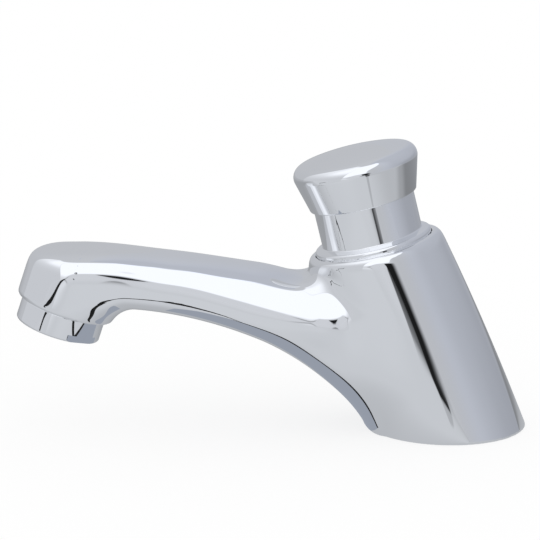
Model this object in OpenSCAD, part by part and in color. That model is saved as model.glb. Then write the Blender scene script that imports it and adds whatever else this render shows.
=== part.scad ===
// Push timed basin tap: slanted body with a long spout, an aerator and a push cap.
// Origin at the centre of the foot on the deck, +Z up, spout along -X. Millimetres.

/* [Body] */
// Diameter of the round foot on the deck
base_d = 53.4; // [52:0.2:56]
// Diameter of the body at its top rim
rim_d = 44; // [43:0.5:46]
// Height of the middle of the rim above the deck
rim_height = 61; // [60:0.5:66]
// Distance from the foot's centre forward to the middle of the rim
rim_forward = 24.5; // [23:0.1:26]
// Lean of the push axis from the vertical, in degrees
lean = 14; // [12:0.5:16]

/* [Spout] */
// Distance from the foot's centre to the middle of the outlet's lip
reach = 125.2; // [122:0.2:135]
// Height of the middle of the outlet's lip above the deck
lip_height = 39.1; // [38:0.1:40]
// Tilt of the outlet from straight down, towards the front, in degrees
outlet_tilt = 18; // [14:0.5:20]
// Diameter of the nose round the outlet
nose_d = 32; // [31:0.5:34]
// Height of the spout's top at the nose
nose_top = 59; // [58.5:0.1:62]
// Height of the spout's underside behind the nose
nose_under = 39.8; // [39:0.1:40.5]
// Width of the spout at its narrowest
spout_w = 29.4; // [28.4:0.2:31]
// Distance from the foot's centre to where the spout begins to bend down
root_x = 62.8; // [61:0.2:63.4]
// Height of the spout's top at the start of the bend
root_top = 53.5; // [53:0.1:55]
// Height of the spout's underside at the start of the bend
root_under = 29.9; // [28:0.1:31]
// Width of the spout at the start of the bend
root_w = 32; // [30:0.5:34]
// Distance from the bend's centre to the underside halfway round the bend
belly = 27.2; // [26:0.1:28.5]
// How far the foot reaches in front of its centre
foot_front = 26.2; // [25.5:0.1:28]
// Radius that blends the spout into the body
root_blend = 18; // [12:1:22]
// Radius that blends the spout into the nose
nose_blend = 8; // [5:0.5:10]

/* [Push cap] */
// Diameter of the cap at its top edge
cap_d = 41; // [40:0.5:44]
// Diameter of the cap at its lower edge
cap_skirt_d = 35.4; // [35.2:0.1:37]
// Height of the cap's lower edge above the rim, along the push axis
cap_bottom = 14.5; // [14:0.1:15]
// Height of the cap's top edge above the rim, along the push axis
cap_edge = 29; // [28.5:0.5:31]
// Height of the dome above the top edge
cap_dome = 2.6; // [2.4:0.1:4]
// Travel of the cap when it is pushed
travel = 8; // [6:0.5:8.5]

/* [Bonnet] */
// Diameter of the neck that the cap slides over
neck_d = 33; // [32:0.1:33.2]
// Diameter of the rounded collar at the foot of the neck
collar_d = 38.4; // [37:0.1:39]
// Height of the collar above the rim
collar_h = 2.65; // [2.2:0.05:3]
// Depth of the collar's seat below the rim
collar_seat = 1.5; // [1:0.1:2]
// Height of the neck's top above the rim
neck_top = 19; // [17:0.5:19.5]
// Diameter of the bonnet's screw thread
bonnet_thread_d = 34.8; // [34.2:0.1:35.6]
// Length of the bonnet's screw thread
bonnet_thread_l = 9; // [8.5:0.1:9.3]

/* [Cartridge] */
// Outside diameter of the timing barrel
barrel_d = 30.8; // [30:0.2:31.6]
// Bore of the timing barrel
barrel_bore = 24.4; // [23.6:0.2:24.8]
// Length of the timing barrel
barrel_l = 21.3; // [21:0.1:22]
// Diameter of the push rod
rod_d = 8; // [7.6:0.1:8.4]
// Diameter of the rod below the piston
rod_low_d = 5; // [4.8:0.1:5.4]
// Thickness of the timing piston
piston_t = 4.5; // [4.2:0.1:4.7]
// Diameter of the valve disc
valve_d = 17; // [16:0.5:18]
// Diameter of the hole in the valve seat
seat_hole_d = 11; // [10:0.5:12]
// Mean diameter of the return spring
spring_d = 21; // [19:0.5:23]
// Diameter of the spring's wire
wire_d = 1.6; // [1.4:0.1:1.8]
// Number of spring curls
curls = 6; // [5:1:6]

/* [Aerator] */
// Outside diameter of the aerator ring
aerator_d = 28; // [27:0.1:29]
// Height of the aerator ring below the lip
aerator_h = 7.8; // [7:0.1:8.5]
// Diameter of the aerator's screw thread
aerator_thread_d = 24; // [23.6:0.1:24.4]
// Length of the aerator's screw thread
aerator_thread_l = 6.5; // [6:0.1:7]
// Width across the aerator's two spanner flats
aerator_flats = 25.6; // [25:0.1:26.4]

/* [Inlet and clamp] */
// Diameter of the threaded inlet shank, a half-inch pipe thread
shank_d = 20.96; // [20.5:0.02:21.2]
// Length of the shank below the deck
shank_l = 52; // [50:1:60]
// Bore of the shank
shank_bore = 14; // [13:0.2:14.6]
// Thickness of the deck that the clamp is drawn for
deck_t = 20; // [12:1:20]
// Width of the back nut across its flats
nut_af = 30; // [28:0.5:32]
// Outside diameter of the clamp washers
washer_d = 40; // [36:1:46]

/* [Clearances] */
// Radial gap of parts that are screwed or pushed together
seat_gap = 0.05; // [0.03:0.01:0.1]
// Radial gap of the rod in its bush and of the piston's seal in its barrel
slide_gap = 0.06; // [0.04:0.01:0.1]
// Gap under the valve seat at rest
valve_gap = 0.05; // [0.03:0.01:0.1]

/* [Hidden] */
$fn = 96;

chrome = [0.82, 0.83, 0.85];
brass = [0.78, 0.62, 0.33];
steel = [0.66, 0.67, 0.69];
rubber = [0.09, 0.09, 0.10];
white_plastic = [0.90, 0.90, 0.88];
grey_plastic = [0.55, 0.57, 0.60];

base_r = base_d / 2;
rim_r = rim_d / 2;
nose_r = nose_d / 2;
neck_r = neck_d / 2;
collar_r = collar_d / 2;
bonnet_thread_r = bonnet_thread_d / 2;
barrel_r = barrel_d / 2;
bore_r = barrel_bore / 2;
rod_r = rod_d / 2;
rod_low_r = rod_low_d / 2;
shank_r = shank_d / 2;
aerator_r = aerator_d / 2;
aerator_thread_r = aerator_thread_d / 2;

// heights along the push axis, from the plane of the rim
bonnet_bottom = -collar_seat - bonnet_thread_l;
bonnet_seal_t = 1.2;
barrel_top = bonnet_bottom - bonnet_seal_t;
barrel_bottom = barrel_top - barrel_l;
barrel_gasket_t = 1;
barrel_shoulder = barrel_bottom - barrel_gasket_t;
spring_floor = 3;
bonnet_floor_t = 7.5;
gland_t = 0.9;
bush_l = 4;
bush_r = rod_r + 2.15;
piston_top = bonnet_bottom - 2;
piston_bottom = piston_top - piston_t;
seat_t = 2.8;
port_r = 1.8;
gallery_mid = barrel_bottom + seat_t + port_r + 0.4;
gallery_h = 5.6;
valve_top = barrel_bottom - valve_gap;
valve_t = 2.5;
valve_washer_t = 1;
valve_nut_t = 2.4;
valve_stud_r = rod_low_r - 0.5;
rod_bottom = valve_top - valve_t - valve_washer_t - valve_nut_t - 0.6;
chamber_floor = rod_bottom - travel - 1.5;
chamber_r = barrel_r - 5;
cap_ceiling = cap_edge - 0.5;
cap_boss_l = 6.5;
cap_boss_bottom = cap_ceiling - cap_boss_l;
cap_bore_r = neck_r + 0.3;
lock_nut_t = 3;
rod_stud_r = rod_r - 1;
rod_shoulder = cap_boss_bottom - lock_nut_t - 2;

// depths along the outlet axis, from the plane of the lip, positive outwards
aerator_washer_t = 1.5;
nose_bore_depth = aerator_thread_l + aerator_washer_t;
nose_chamber_depth = nose_bore_depth + 4.5;
nose_chamber_r = aerator_thread_r - 3;
core_r = aerator_thread_r - 1.7;

// heights at the foot
shank_socket = 8.5;
shank_seal_t = 1.5;
shank_top = shank_socket - shank_seal_t;
gasket_in_r = shank_r + 4;
gasket_out_r = base_r - 5.2;
gasket_t = 2;
clamp_gasket_t = 2;
clamp_washer_t = 1.5;
back_nut_t = 9;
relief_top = -deck_t - clamp_gasket_t - clamp_washer_t - back_nut_t - 1.5;
relief_h = 2;
regulator_t = 6;
regulator_floor_t = 4;
regulator_bowl_r = 5;
regulator_ring_r = 3.4;
regulator_ring_wire = 1.1;
strainer_t = 6;
strainer_cup_r = 5.6;
strainer_wall = 0.6;
waterway_r = 5;

// Blending functions
function mix(a, b, t) = a + (b - a) * t;
function ease(t) = let (c = min(max(t, 0), 1)) c * c * (3 - 2 * c);
function smooth_min(a, b, k) = let (h = max(k - abs(a - b), 0) / k) min(a, b) - h * h * k / 4;
function smooth_max(a, b, k) = -smooth_min(-a, -b, k);
function arc(cx, cy, r, from, to, steps) =
  [for (i = [0:steps]) let (a = mix(from, to, i / steps)) [cx + r * cos(a), cy + r * sin(a)]];

// Housing: circles that turn from the flat foot to the leaning rim about the line where those two planes meet.
// Its front and back edges are straight in the XZ plane, and the back swells a little.
back_swell = 0.8;
hinge_x = -rim_forward - rim_height / tan(lean);
function edge_from_hinge(foot_x, rim_side, psi) =
  let (a = foot_x - hinge_x)
  let (run = -rim_forward + rim_side * cos(lean) - foot_x)
  let (rise = rim_height + rim_side * sin(lean))
  a * rise / (cos(psi) * rise - sin(psi) * run);
function housing(x, y, z) =
  let (psi = atan2(z, x - hinge_x))
  let (t = psi / lean)
  let (front = edge_from_hinge(-base_r, -rim_r, psi))
  let (back = edge_from_hinge(base_r, rim_r, psi) + 4 * back_swell * t * (1 - t))
  max(
    norm([norm([x - hinge_x, z]) - (front + back) / 2, y]) - (back - front) / 2,
    -sin(lean) * (x + rim_forward) + cos(lean) * (z - rim_height) - 5 - 0.11 * (x + rim_forward)
  );

// Spout and nose: sections stand upright in front of the bend's centre and fan round it down to the foot.
// Their top is boxier towards the nose, where the plan ends in a half circle round the outlet.
// turn is 1 at the start of the bend and 0 at the foot.
under_peak = 2 * (nose_under - root_under) / 0.4;
spout_l = reach - root_x;
top_peak = spout_l - 7;
waist = 30;
nose_start = 34;
function underside(ahead, turn) =
  ahead >= 0
    ? root_under + (nose_under - root_under) * (1 - pow(max(1 - ahead / under_peak, 0), 2))
    : let (foot = root_x - foot_front)
      let (a = 2 * (foot + root_under - 2 * belly))
      foot + (root_under - foot - a) * turn + a * turn * turn;
function topside(ahead, turn) =
  ahead >= top_peak
    ? nose_top - 0.0022 * pow(ahead - top_peak, 2)
    : ahead >= 0
      ? root_top + (nose_top - root_top) * (1 - pow(1 - ahead / top_peak, 1.5))
      : root_top - 12.9 * (1 - turn) + 17.2 * pow(1 - turn, 2);
function half_width(ahead, turn) =
  ahead >= waist
    ? mix(spout_w / 2, nose_r, ease((ahead - waist) / 25))
    : ahead >= 0
      ? spout_w / 2 + (root_w - spout_w) / 2 * pow(1 - ahead / waist, 2)
      : root_w / 2 + 10.5 * (1 - turn) - 12 * pow(1 - turn, 2);
// How far the underside drops into the nose, by the distance from the nose's round wall
function nose_drop(away) =
  away > nose_blend
    ? 0
    : away > 0
      ? nose_blend - sqrt(max(nose_blend * nose_blend - pow(nose_blend - away, 2), 0))
      : nose_blend - 3 * away;
function tube(x, y, z) =
  let (ahead = -root_x - x)
  let (turn = ahead >= 0 ? 1 : atan2(z, -ahead) / 90)
  let (up = ahead >= 0 ? z : norm([ahead, z]))
  let (dx = x + reach)
  let (dz = z - lip_height)
  let (out = -sin(outlet_tilt) * dx - cos(outlet_tilt) * dz)
  let (along = cos(outlet_tilt) * dx - sin(outlet_tilt) * dz)
  let (far = norm([along, y]))
  let (at_nose = ease((ahead - waist) / 20))
  let (sink = 0.6 * ease((ahead - waist) / 20) * (1 - ease((ahead - 50) / 12)))
  let (high = topside(min(ahead, spout_l + nose_r), turn) - sink)
  let (belly_z = underside(min(ahead, spout_l), turn))
  let (middle = mix(belly_z, high, 0.34))
  let (low = belly_z - at_nose * nose_drop(far - nose_r))
  let (side = along < 0 ? far : abs(y))
  let (wide = along < 0 ? nose_r : half_width(ahead, turn))
  let (half_h = max(up > middle ? high - middle : middle - low, 0.5))
  let (spout_power = mix(mix(2.5, 3, ease(ahead / waist)), 4.2, ease((ahead - nose_start) / 18)))
  let (power = up > middle
    ? spout_power + (along < 0 ? 2 * ease(-along / nose_r) : 0)
    : 2.4 + 1.6 * at_nose * ease(1 - (far - nose_r) / nose_blend))
  let (g = pow(pow(side / wide, power) + pow(abs(up - middle) / half_h, power), 1 / power))
  let (away = norm([side, up - middle]))
  max(g > 0.001 ? away - away / g : -half_h, out - 4);

function skin(x, y, z) =
  let (blend = mix(0.5, root_blend, ease(z / 24)) * mix(1, 0.62, ease((z - 38) / 12)))
  smooth_min(tube(x, y, z), housing(x, y, z), blend);

// Sections of the skin: each is a centre in the XZ plane and the direction that is up in it
bend_turns = [for (i = [0:10]) i * 0.065, for (i = [1:21]) 0.65 + i / 60];
function bend_section(t) = let (c = mix(root_x, (root_top + root_under) / 2, t))
  [-root_x + c * cos(90 * t), c * sin(90 * t), cos(90 * t), sin(90 * t)];
spout_steps = 11;
function spout_section(t) = [
  -mix(root_x, reach, t),
  mix((root_top + root_under) / 2, (nose_top + lip_height) / 2 - 1, t),
  0,
  1
];
tip_x = nose_r * cos(outlet_tilt) + 4 * sin(outlet_tilt);
tip_z = nose_r * sin(outlet_tilt) - 4 * cos(outlet_tilt);
function nose_section(a) = [
  -reach - tip_x * sin(a),
  mix((nose_top + lip_height) / 2 - 1, lip_height + tip_z + 0.6, sin(a)),
  0,
  1
];
function skin_sections() = [
  for (t = bend_turns) bend_section(t),
  for (i = [1:spout_steps]) spout_section(i / spout_steps),
  for (a = [13:13:78]) nose_section(a),
  nose_section(86)
];
half_rays = 32;
function on_ray(s, a, r) = [s[0] + r * sin(a) * s[2], r * cos(a), s[1] + r * sin(a) * s[3]];
function reach_skin(s, a, r, tries) =
  tries == 0
    ? r
    : let (p = on_ray(s, a, r))
      let (d = skin(p[0], p[1], p[2]))
      reach_skin(s, a, max(r - 0.75 * d, 0.05), tries - 1);
function section_points(s) =
  let (half = [for (i = [0:half_rays]) let (a = -90 + 180 * i / half_rays) on_ray(s, a, reach_skin(s, a, 1, 26))])
  concat(half, [for (i = [half_rays - 1:-1:1]) [half[i][0], -half[i][1], half[i][2]]]);

module body_skin() {
  sections = skin_sections();
  rings = [for (s = sections) section_points(s)];
  n = 2 * half_rays;
  last = len(rings) - 1;
  points = concat([for (ring = rings) each ring], [[-reach - tip_x, 0, lip_height + tip_z]]);
  faces = concat(
    [[for (i = [0:n - 1]) i]],
    [
      for (k = [0:last - 1], i = [0:n - 1])
        each let (j = (i + 1) % n) [[k * n + i, (k + 1) * n + i, k * n + j], [k * n + j, (k + 1) * n + i, (k + 1) * n + j]]
    ],
    [for (i = [0:n - 1]) [last * n + i, (last + 1) * n, last * n + (i + 1) % n]]
  );
  polyhedron(points, faces, convexity = 6);
}

// Placing and turning helpers
module on_push_axis() {
  translate([-rim_forward, 0, rim_height]) rotate([0, -lean, 0]) children();
}

module on_outlet_axis() {
  translate([-reach, 0, lip_height]) rotate([0, 180 + outlet_tilt, 0]) children();
}

module turned(points) {
  rotate_extrude() polygon(points);
}

module ring(r_in, r_out, low, high) {
  turned([[r_in, low], [r_out, low], [r_out, high], [r_in, high]]);
}

module o_ring(r_mid, r_wire, height) {
  translate([0, 0, height]) rotate_extrude() translate([r_mid, 0]) circle(r = r_wire, $fn = 32);
}

module hex_nut(across, bore, low, high) {
  translate([0, 0, low]) difference() {
    cylinder(d = across / cos(30), h = high - low, $fn = 6);
    translate([0, 0, -1]) cylinder(r = bore, h = high - low + 2);
  }
}

module drilled(from, to, r) {
  span = to - from;
  translate(from) rotate([0, atan2(span[0], span[2]), 0]) cylinder(r = r, h = norm(span));
}

module hole_grid(pitch, r, limit, low, high) {
  rows = floor(limit / pitch);
  for (i = [-rows:rows], j = [-rows:rows])
    let (x = (i + j / 2) * pitch, y = j * pitch * sin(60))
      if (norm([x, y]) <= limit) translate([x, y, low]) cylinder(r = r, h = high - low, $fn = 24);
}

// Parts
waterway_from = [-rim_forward - sin(lean) * gallery_mid, 0, rim_height + cos(lean) * gallery_mid];
waterway_bend = [-root_x, 0, (root_top + root_under) / 2];
waterway_to = [
  -reach + sin(outlet_tilt) * (nose_chamber_depth - 3),
  0,
  lip_height + cos(outlet_tilt) * (nose_chamber_depth - 3)
];

module tap_body() {
  color(chrome) difference() {
    body_skin();
    on_push_axis() {
      cylinder(r = rim_r + 4, h = 30);
      translate([0, 0, -collar_seat]) cylinder(r = collar_r + 0.15, h = 10);
      translate([0, 0, bonnet_bottom]) cylinder(r = bonnet_thread_r + seat_gap, h = 20);
      translate([0, 0, barrel_shoulder]) cylinder(r = barrel_r + 2 * seat_gap, h = 30);
      translate([0, 0, chamber_floor]) cylinder(r = chamber_r, h = 30);
    }
    on_outlet_axis() {
      cylinder(r = nose_r + 6, h = 12);
      translate([0, 0, -nose_bore_depth]) cylinder(r = aerator_thread_r + seat_gap, h = 20);
      translate([0, 0, -nose_chamber_depth]) cylinder(r = nose_chamber_r, h = 20);
    }
    drilled(waterway_from, waterway_bend, waterway_r);
    translate(waterway_bend) sphere(r = waterway_r + 0.6);
    drilled(waterway_bend, waterway_to, waterway_r);
    translate([0, 0, -1]) cylinder(r = shank_r + seat_gap, h = shank_socket + 1);
    translate([-5, 0, shank_socket - 2]) cylinder(r = 4.5, h = 11);
    translate([0, 0, -1]) ring(gasket_in_r, gasket_out_r + seat_gap, 0, gasket_t + 1);
  }
}

module push_cap() {
  edge_r = 2;
  dome_rho = (pow(cap_d / 2, 2) + cap_dome * cap_dome) / (2 * cap_dome);
  dome_c = cap_edge + cap_dome - dome_rho;
  flare = atan2(cap_d / 2 - cap_skirt_d / 2, cap_edge - cap_bottom);
  edge_x = cap_d / 2 - edge_r;
  edge_z = dome_c + sqrt(pow(dome_rho - edge_r, 2) - edge_x * edge_x);
  dome_a = atan2(edge_z - dome_c, edge_x);
  outer = concat(
    [[cap_bore_r, cap_bottom], [cap_skirt_d / 2 - 0.4, cap_bottom], [cap_skirt_d / 2, cap_bottom + 0.4]],
    arc(edge_x, edge_z, edge_r, -flare, dome_a, 6),
    [for (i = [1:6]) let (a = mix(dome_a, 90, i / 6)) [dome_rho * cos(a), dome_c + dome_rho * sin(a)]]
  );
  inner = [
    [0, cap_ceiling - 1],
    [rod_stud_r + seat_gap, cap_ceiling - 1],
    [rod_stud_r + seat_gap, cap_boss_bottom],
    [6.2, cap_boss_bottom],
    [6.2, cap_ceiling],
    [cap_bore_r - 2, cap_ceiling],
    [cap_bore_r, cap_ceiling - 2]
  ];
  color(chrome) on_push_axis() turned(concat(outer, inner));
}

module lock_nut() {
  color(steel) on_push_axis()
    hex_nut(10, rod_stud_r + seat_gap, cap_boss_bottom - lock_nut_t, cap_boss_bottom);
}

module push_rod() {
  clip_high = piston_bottom - seat_gap;
  color(steel) on_push_axis() turned([
    [0, rod_bottom],
    [valve_stud_r, rod_bottom],
    [valve_stud_r, valve_top],
    [rod_low_r, valve_top],
    [rod_low_r, clip_high - 0.9],
    [rod_low_r - 0.6, clip_high - 0.9],
    [rod_low_r - 0.6, clip_high],
    [rod_low_r, clip_high],
    [rod_low_r, piston_top],
    [rod_r, piston_top],
    [rod_r, rod_shoulder],
    [rod_stud_r, rod_shoulder],
    [rod_stud_r, cap_ceiling - 1.3],
    [0, cap_ceiling - 1.3]
  ]);
}

// Spring: one tube along a helix whose end curls lie flat
spring_rings = 8;
spring_sides = 6;
function spring_height(t) =
  let (closed = 1 / curls)
  let (lift = min(max((t - closed) / (1 - 2 * closed), 0), 1))
  let (end_rise = wire_d * 1.45)
  let (span = cap_ceiling - spring_floor - wire_d - 0.2)
  t < closed
    ? end_rise * t / closed
    : t > 1 - closed
      ? span - end_rise * (1 - t) / closed
      : end_rise + (span - 2 * end_rise) * lift;

// The wire's least gap to itself, measured between points at least half a curl apart
function spring_point(i) =
  let (a = 360 * i / spring_rings)
  [spring_d / 2 * cos(a), spring_d / 2 * sin(a), spring_height(i / (curls * spring_rings))];
function spring_gap() = min([
  for (i = [0:curls * spring_rings], j = [i + spring_rings / 2:curls * spring_rings])
    norm(spring_point(i) - spring_point(j)) - wire_d
]);

module return_spring() {
  echo(spring_gap = spring_gap());
  steps = curls * spring_rings;
  points = [
    for (i = [0:steps], j = [0:spring_sides - 1])
      let (t = i / steps, a = 360 * i / spring_rings, b = 360 * j / spring_sides)
      let (r = spring_d / 2 + wire_d / 2 * cos(b))
        [r * cos(a), r * sin(a), spring_floor + wire_d / 2 + 0.1 + spring_height(t) + wire_d / 2 * sin(b)]
  ];
  faces = concat(
    [[for (j = [spring_sides - 1:-1:0]) j]],
    [
      for (i = [0:steps - 1], j = [0:spring_sides - 1])
        each let (k = (j + 1) % spring_sides, m = i * spring_sides)
          [[m + j, m + k, m + spring_sides + j], [m + k, m + spring_sides + k, m + spring_sides + j]]
    ],
    [[for (j = [0:spring_sides - 1]) steps * spring_sides + j]]
  );
  color(steel) on_push_axis() polyhedron(points, faces, convexity = 10);
}

module bonnet() {
  round_r = min(collar_h - 0.5, collar_r - neck_r - 0.4);
  color(chrome) on_push_axis() turned(concat(
    [
      [bore_r, bonnet_bottom],
      [bonnet_thread_r, bonnet_bottom],
      [bonnet_thread_r, -collar_seat],
      [collar_r, -collar_seat]
    ],
    arc(collar_r - round_r, collar_h - round_r, round_r, 0, 90, 6),
    [
      [neck_r, collar_h],
      [neck_r, neck_top - 0.6],
      [neck_r - 0.6, neck_top],
      [spring_d / 2 + wire_d + 1.4, neck_top],
      [spring_d / 2 + wire_d + 1.4, spring_floor],
      [bush_r + seat_gap, spring_floor],
      [bush_r + seat_gap, spring_floor - bonnet_floor_t + gland_t],
      [rod_r + 0.3, spring_floor - bonnet_floor_t + gland_t],
      [rod_r + 0.3, spring_floor - bonnet_floor_t],
      [bore_r, spring_floor - bonnet_floor_t]
    ]
  ));
}

module stem_bush() {
  color(brass) on_push_axis() ring(rod_r + slide_gap, bush_r, spring_floor - bush_l, spring_floor);
}

module stem_o_ring() {
  gland_low = spring_floor - bonnet_floor_t + gland_t;
  gland_high = spring_floor - bush_l;
  wire = (bush_r - rod_r) / 2 - slide_gap;
  color(rubber) on_push_axis() o_ring((bush_r + rod_r) / 2, wire, (gland_low + gland_high) / 2);
}

module bonnet_seal() {
  color(rubber) on_push_axis() ring(bore_r, barrel_r, barrel_top, bonnet_bottom);
}

module cartridge_barrel() {
  gallery_r = barrel_r - 1.4;
  groove_mid = (barrel_top + gallery_mid + gallery_h / 2) / 2;
  color(white_plastic) on_push_axis() difference() {
    ring(bore_r, barrel_r, barrel_bottom, barrel_top);
    ring(gallery_r, barrel_r + 1, gallery_mid - gallery_h / 2, gallery_mid + gallery_h / 2);
    ring(barrel_r - 1.6, barrel_r + 1, groove_mid - 1.1, groove_mid + 1.1);
    for (a = [0:60:300])
      rotate([0, 0, a]) translate([0, 0, gallery_mid]) rotate([0, 90, 0]) cylinder(r = port_r, h = barrel_r + 1, $fn = 32);
  }
}

module barrel_o_ring() {
  groove_mid = (barrel_top + gallery_mid + gallery_h / 2) / 2;
  color(rubber) on_push_axis() o_ring(barrel_r - 0.75, 0.8, groove_mid);
}

module barrel_gasket() {
  color(rubber) on_push_axis() ring(chamber_r, barrel_r, barrel_shoulder, barrel_bottom);
}

module timing_piston() {
  piston_r = bore_r - 0.6;
  color(brass) on_push_axis() difference() {
    ring(rod_low_r + seat_gap, piston_r, piston_bottom, piston_top);
    ring(piston_r - 2.2, piston_r + 1, piston_bottom + 1.1, piston_top - 1.1);
    translate([6, 0, piston_bottom - 1]) cylinder(r = 0.5, h = piston_t + 2, $fn = 24);
  }
}

module piston_seal() {
  low = piston_bottom + 1.1 + seat_gap;
  high = piston_top - 1.1 - seat_gap;
  inside = bore_r - 0.6 - 2.2 + seat_gap;
  lip = bore_r - slide_gap;
  color(rubber) on_push_axis() turned([
    [inside, low],
    [lip - 0.7, low],
    [lip, high - 0.4],
    [lip, high],
    [lip - 0.6, high],
    [lip - 1.2, low + 0.9],
    [inside, low + 0.9]
  ]);
}

module piston_clip() {
  high = piston_bottom - seat_gap;
  color(steel) on_push_axis() difference() {
    ring(rod_low_r - 0.6 + seat_gap, rod_low_r + 2, high - 0.8, high);
    translate([0, -1.4, high - 2]) cube([10, 2.8, 3]);
  }
}

module valve_seat() {
  color(steel) on_push_axis() ring(seat_hole_d / 2, bore_r - seat_gap, barrel_bottom, barrel_bottom + seat_t);
}

module valve_disc() {
  color(rubber) on_push_axis() ring(valve_stud_r + seat_gap, valve_d / 2, valve_top - valve_t, valve_top);
}

module valve_washer() {
  high = valve_top - valve_t;
  color(steel) on_push_axis() ring(valve_stud_r + seat_gap, valve_d / 2 - 1.5, high - valve_washer_t, high);
}

module valve_nut() {
  high = valve_top - valve_t - valve_washer_t;
  color(steel) on_push_axis() hex_nut(7, valve_stud_r + seat_gap, high - valve_nut_t, high);
}

module aerator_housing() {
  core_seat = aerator_h - 1.2;
  chamfer = 1;
  color(chrome) on_outlet_axis() difference() {
    turned([
      [core_r + seat_gap, -aerator_thread_l],
      [aerator_thread_r, -aerator_thread_l],
      [aerator_thread_r, 0],
      [aerator_r, 0],
      [aerator_r, aerator_h - chamfer],
      [aerator_r - chamfer, aerator_h],
      [core_r - 0.8, aerator_h],
      [core_r - 0.8, core_seat],
      [core_r + seat_gap, core_seat]
    ]);
    for (a = [50, 230])
      rotate([0, 0, a]) translate([aerator_flats / 2, -20, aerator_h - 2.4]) cube([10, 40, 10]);
  }
}

module aerator_core() {
  core_seat = aerator_h - 1.2;
  color(white_plastic) on_outlet_axis() difference() {
    union() {
      ring(core_r - 1, core_r, -aerator_thread_l, core_seat);
      translate([0, 0, core_seat - 3]) cylinder(r = core_r - 0.5, h = 3);
    }
    hole_grid(2.3, 0.95, core_r - 2.4, core_seat - 4, core_seat + 1);
  }
}

module aerator_screen() {
  screen_r = core_r - 1 - seat_gap;
  low = -aerator_thread_l + 3;
  color(steel) on_outlet_axis() difference() {
    translate([0, 0, low]) cylinder(r = screen_r, h = 0.5);
    hole_grid(2.6, 0.9, screen_r - 1.8, low - 1, low + 1);
  }
}

module aerator_washer() {
  color(rubber) on_outlet_axis()
    ring(nose_chamber_r, aerator_thread_r - 0.2, -nose_bore_depth, -aerator_thread_l);
}

module inlet_shank() {
  color(brass) difference() {
    turned([
      [shank_bore / 2, -shank_l],
      [shank_r - 0.8, -shank_l],
      [shank_r, -shank_l + 0.8],
      [shank_r, relief_top - relief_h],
      [shank_r - 1.2, relief_top - relief_h],
      [shank_r - 1.2, relief_top],
      [shank_r, relief_top],
      [shank_r, shank_top],
      [shank_bore / 2, shank_top]
    ]);
    ring(shank_bore / 2 - 1, shank_bore / 2 + 0.9, -shank_l + 1.5, -shank_l + 2.5);
  }
}

module shank_seal() {
  color(rubber) ring(shank_bore / 2, shank_r - 0.1, shank_top, shank_socket);
}

module flow_regulator() {
  color(grey_plastic) difference() {
    translate([0, 0, relief_top - regulator_floor_t]) cylinder(r = shank_bore / 2 - seat_gap, h = regulator_t);
    translate([0, 0, relief_top]) cylinder(r = regulator_bowl_r, h = regulator_t);
    for (a = [0:60:300])
      rotate([0, 0, a])
        translate([regulator_ring_r - 0.2, 0, relief_top - regulator_t]) cylinder(r = 0.9, h = 2 * regulator_t, $fn = 24);
  }
}

module regulator_ring() {
  color(rubber) o_ring(regulator_ring_r, regulator_ring_wire, relief_top + regulator_ring_wire);
}

module inlet_strainer() {
  low = -shank_l + 1.5;
  color(steel) difference() {
    union() {
      translate([0, 0, low + 0.1]) cylinder(r = shank_bore / 2 + 0.8, h = 0.8);
      translate([0, 0, low + 0.1]) cylinder(r = strainer_cup_r, h = strainer_t);
    }
    translate([0, 0, low - 1]) cylinder(r = strainer_cup_r - strainer_wall, h = strainer_t + 0.4);
    hole_grid(2, 0.7, strainer_cup_r - 1.4, low, low + strainer_t + 2);
  }
}

module base_gasket() {
  color(rubber) ring(gasket_in_r + seat_gap, gasket_out_r, 0, gasket_t);
}

module clamp_gasket() {
  color(rubber) ring(shank_r + 0.3, washer_d / 2, -deck_t - clamp_gasket_t, -deck_t);
}

module clamp_washer() {
  high = -deck_t - clamp_gasket_t;
  color(steel) ring(shank_r + 0.3, washer_d / 2, high - clamp_washer_t, high);
}

module back_nut() {
  high = -deck_t - clamp_gasket_t - clamp_washer_t;
  color(brass) hex_nut(nut_af, shank_r + seat_gap, high - back_nut_t, high);
}

tap_body();
push_cap();
lock_nut();
push_rod();
return_spring();
bonnet();
stem_bush();
stem_o_ring();
bonnet_seal();
cartridge_barrel();
barrel_o_ring();
barrel_gasket();
timing_piston();
piston_seal();
piston_clip();
valve_seat();
valve_disc();
valve_washer();
valve_nut();
aerator_housing();
aerator_core();
aerator_screen();
aerator_washer();
inlet_shank();
shank_seal();
flow_regulator();
regulator_ring();
inlet_strainer();
base_gasket();
clamp_gasket();
clamp_washer();
back_nut();
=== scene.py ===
import math

import bpy
import numpy as np
from mathutils import Matrix, Vector


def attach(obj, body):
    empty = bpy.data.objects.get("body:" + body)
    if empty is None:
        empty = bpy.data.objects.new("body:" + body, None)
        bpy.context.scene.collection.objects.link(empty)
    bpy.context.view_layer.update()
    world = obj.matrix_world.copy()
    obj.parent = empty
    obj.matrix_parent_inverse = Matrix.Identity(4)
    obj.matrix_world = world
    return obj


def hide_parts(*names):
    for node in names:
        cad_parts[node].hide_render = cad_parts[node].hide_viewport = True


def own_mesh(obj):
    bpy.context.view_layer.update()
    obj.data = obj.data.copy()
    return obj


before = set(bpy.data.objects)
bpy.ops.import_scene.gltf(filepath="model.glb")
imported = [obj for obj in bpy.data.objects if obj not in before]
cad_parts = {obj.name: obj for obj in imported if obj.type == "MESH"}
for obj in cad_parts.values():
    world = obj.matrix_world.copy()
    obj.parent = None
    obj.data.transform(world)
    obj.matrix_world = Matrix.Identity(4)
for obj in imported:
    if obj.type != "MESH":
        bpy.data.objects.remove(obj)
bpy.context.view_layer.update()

# Sizes of the tap in millimetres, as in its solids but for a slightly fuller belly, and its angles in radians
MM = 0.001
BASE_R = 26.7
RIM_R = 22.0
RIM_HEIGHT = 61.0
RIM_FORWARD = 24.5
LEAN = math.radians(14)
BACK_SWELL = 0.8
REACH = 125.2
LIP_HEIGHT = 39.1
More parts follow.
